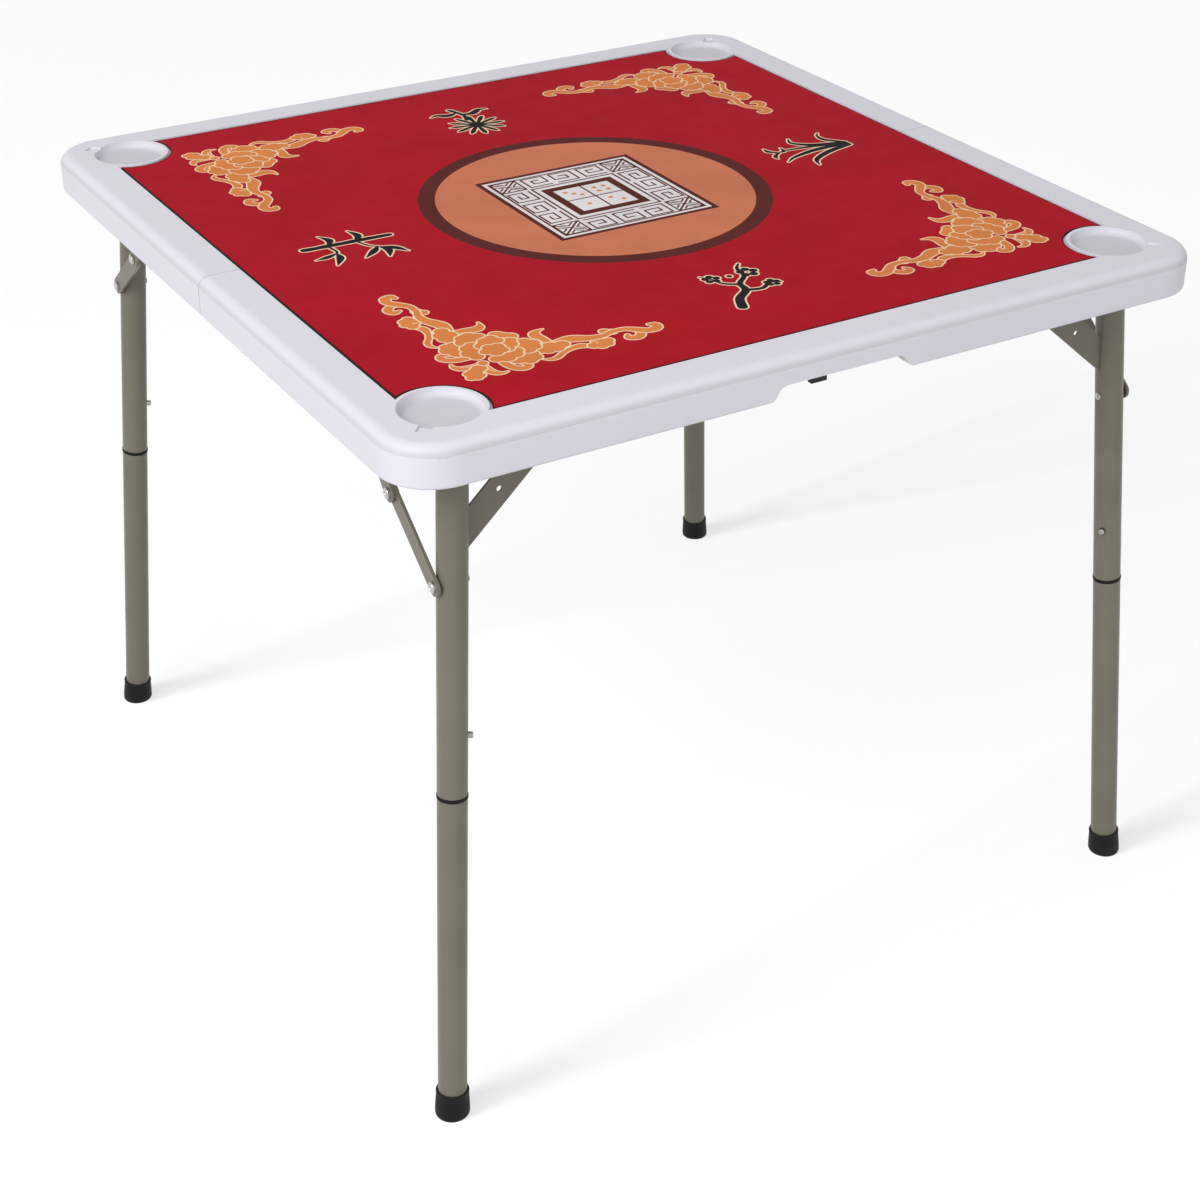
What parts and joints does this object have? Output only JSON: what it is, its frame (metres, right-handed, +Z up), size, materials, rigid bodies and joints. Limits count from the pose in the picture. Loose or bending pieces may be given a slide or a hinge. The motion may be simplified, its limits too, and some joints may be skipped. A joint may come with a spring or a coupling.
{
  "type": "folding game table",
  "caption": "Square folding game table: moulded tray halves hinged at the seam, inlaid printed mat, corner cup dishes, splayed tube legs with knee braces and a carry handle.",
  "frame": {"origin": "on the floor, under the middle of the top", "axes": "+X along the front edge, +Y from the front edge with the handle to the back, +Z up"},
  "size_m": [0.88, 0.8964, 0.724],
  "materials": {
    "shell": "satin",
    "mat": "matt print",
    "frame": "powder coat",
    "zinc": "zinc plated",
    "rubber": "matt",
    "handle": "matt"
  },
  "bodies": {
    "front_half": {"front_top": "shell", "front_hinge_leaves": "zinc", "hinge_pins": "zinc", "front_screws": "zinc", "front_pivot_brackets": "frame", "front_brace_anchors": "frame", "front_anchor_rivets": "zinc", "handle_base": "handle", "handle_pins": "zinc"},
    "back_half": {"back_top": "shell", "back_hinge_leaves": "zinc", "back_screws": "zinc", "back_pivot_brackets": "frame", "back_brace_anchors": "frame", "back_anchor_rivets": "zinc"},
    "mat": {"playing_mat": "mat"},
    "handle": {"handle_loop": "handle"},
    "front_leg_frame": {"front_crossbar": "frame", "front_left_upper_leg": "frame", "front_right_upper_leg": "frame", "front_gussets": "frame", "front_leg_rivets": "zinc"},
    "front_left_lower_leg": {"front_left_lower_tube": "frame", "front_left_sleeve": "zinc", "front_left_collar": "rubber", "front_left_foot": "rubber"},
    "front_left_button": {"front_left_snap_button": "zinc"},
    "front_left_brace_low": {"front_left_lower_link": "frame"},
    "front_left_brace_high": {"front_left_upper_link": "frame", "front_left_knee_rivet": "zinc"},
    "front_right_lower_leg": {"front_right_lower_tube": "frame", "front_right_sleeve": "zinc", "front_right_collar": "rubber", "front_right_foot": "rubber"},
    "front_right_button": {"front_right_snap_button": "zinc"},
    "front_right_brace_low": {"front_right_lower_link": "frame"},
    "front_right_brace_high": {"front_right_upper_link": "frame", "front_right_knee_rivet": "zinc"},
    "back_leg_frame": {"back_crossbar": "frame", "back_left_upper_leg": "frame", "back_right_upper_leg": "frame", "back_gussets": "frame", "back_leg_rivets": "zinc"},
    "back_left_lower_leg": {"back_left_lower_tube": "frame", "back_left_sleeve": "zinc", "back_left_collar": "rubber", "back_left_foot": "rubber"},
    "back_left_button": {"back_left_snap_button": "zinc"},
    "back_left_brace_low": {"back_left_lower_link": "frame"},
    "back_left_brace_high": {"back_left_upper_link": "frame", "back_left_knee_rivet": "zinc"},
    "back_right_lower_leg": {"back_right_lower_tube": "frame", "back_right_sleeve": "zinc", "back_right_collar": "rubber", "back_right_foot": "rubber"},
    "back_right_button": {"back_right_snap_button": "zinc"},
    "back_right_brace_low": {"back_right_lower_link": "frame"},
    "back_right_brace_high": {"back_right_upper_link": "frame", "back_right_knee_rivet": "zinc"}
  },
  "joints": [
    {"name": "table_fold", "type": "hinge", "parent": "front_half", "child": "back_half", "pos_m": [0, 0, 0.684], "axis": [-1, 0, 0], "range_deg": [0, 60]},
    {"name": "mat_lift", "type": "slide", "parent": "front_half", "child": "mat", "axis": [0, 0, 1], "range_m": [0, 0.25]},
    {"name": "handle_swing", "type": "hinge", "parent": "front_half", "child": "handle", "pos_m": [0, -0.413, 0.691], "axis": [-1, 0, 0], "range_deg": [0, 161]},
    {"name": "front_legs_fold", "type": "hinge", "parent": "front_half", "child": "front_leg_frame", "pos_m": [0, -0.382, 0.6983], "axis": [-1, 0, 0], "range_deg": [-89, 0]},
    {"name": "front_left_leg_pull", "type": "slide", "parent": "front_leg_frame", "child": "front_left_lower_leg", "axis": [0.0732, 0.0704, 0.9948], "range_m": [-0.6, 0], "deforming": ["front_left_snap_button"]},
    {"name": "front_left_button_press", "type": "slide", "parent": "front_left_lower_leg", "child": "front_left_button", "axis": [0.8806, -0.4729, -0.0313], "range_m": [-0.0045, 0], "stiffness_N_per_m": 600},
    {"name": "front_left_low_link_turn", "type": "hinge", "parent": "front_leg_frame", "child": "front_left_brace_low", "pos_m": [0, -0.39137, 0.56603], "axis": [-1, 0, 0], "range_deg": [-53, 0]},
    {"name": "front_left_high_link_turn", "type": "hinge", "parent": "front_half", "child": "front_left_brace_high", "pos_m": [0, -0.266, 0.6868], "axis": [-1, 0, 0], "range_deg": [0, 51.1]},
    {"name": "front_right_leg_pull", "type": "slide", "parent": "front_leg_frame", "child": "front_right_lower_leg", "axis": [-0.0732, 0.0704, 0.9948], "range_m": [-0.6, 0], "deforming": ["front_right_snap_button"]},
    {"name": "front_right_button_press", "type": "slide", "parent": "front_right_lower_leg", "child": "front_right_button", "axis": [-0.8806, -0.4729, -0.0313], "range_m": [-0.0045, 0], "stiffness_N_per_m": 600},
    {"name": "front_right_low_link_turn", "type": "hinge", "parent": "front_leg_frame", "child": "front_right_brace_low", "pos_m": [0, -0.39137, 0.56603], "axis": [-1, 0, 0], "range_deg": [-53, 0]},
    {"name": "front_right_high_link_turn", "type": "hinge", "parent": "front_half", "child": "front_right_brace_high", "pos_m": [0, -0.266, 0.6868], "axis": [-1, 0, 0], "range_deg": [0, 51.1]},
    {"name": "back_legs_fold", "type": "hinge", "parent": "back_half", "child": "back_leg_frame", "pos_m": [0, 0.382, 0.6983], "axis": [1, 0, 0], "range_deg": [-89, 0]},
    {"name": "back_left_leg_pull", "type": "slide", "parent": "back_leg_frame", "child": "back_left_lower_leg", "axis": [0.0732, -0.0704, 0.9948], "range_m": [-0.6, 0], "deforming": ["back_left_snap_button"]},
    {"name": "back_left_button_press", "type": "slide", "parent": "back_left_lower_leg", "child": "back_left_button", "axis": [0.8806, -0.4637, -0.0977], "range_m": [-0.0045, 0], "stiffness_N_per_m": 600},
    {"name": "back_left_low_link_turn", "type": "hinge", "parent": "back_leg_frame", "child": "back_left_brace_low", "pos_m": [0, 0.39137, 0.56603], "axis": [1, 0, 0], "range_deg": [-53, 0]},
    {"name": "back_left_high_link_turn", "type": "hinge", "parent": "back_half", "child": "back_left_brace_high", "pos_m": [0, 0.266, 0.6868], "axis": [1, 0, 0], "range_deg": [0, 51.1]},
    {"name": "back_right_leg_pull", "type": "slide", "parent": "back_leg_frame", "child": "back_right_lower_leg", "axis": [-0.0732, -0.0704, 0.9948], "range_m": [-0.6, 0], "deforming": ["back_right_snap_button"]},
    {"name": "back_right_button_press", "type": "slide", "parent": "back_right_lower_leg", "child": "back_right_button", "axis": [-0.8806, -0.4637, -0.0977], "range_m": [-0.0045, 0], "stiffness_N_per_m": 600},
    {"name": "back_right_low_link_turn", "type": "hinge", "parent": "back_leg_frame", "child": "back_right_brace_low", "pos_m": [0, 0.39137, 0.56603], "axis": [1, 0, 0], "range_deg": [-53, 0]},
    {"name": "back_right_high_link_turn", "type": "hinge", "parent": "back_half", "child": "back_right_brace_high", "pos_m": [0, 0.266, 0.6868], "axis": [1, 0, 0], "range_deg": [0, 51.1]}
  ],
  "couplings": [
    {"joint": "front_left_low_link_turn", "follows": "front_legs_fold", "ratio": 0.59506},
    {"joint": "front_left_high_link_turn", "follows": "front_legs_fold", "ratio": -0.57337},
    {"joint": "front_right_low_link_turn", "follows": "front_legs_fold", "ratio": 0.59506},
    {"joint": "front_right_high_link_turn", "follows": "front_legs_fold", "ratio": -0.57337},
    {"joint": "back_left_low_link_turn", "follows": "back_legs_fold", "ratio": 0.59506},
    {"joint": "back_left_high_link_turn", "follows": "back_legs_fold", "ratio": -0.57337},
    {"joint": "back_right_low_link_turn", "follows": "back_legs_fold", "ratio": 0.59506},
    {"joint": "back_right_high_link_turn", "follows": "back_legs_fold", "ratio": -0.57337}
  ]
}
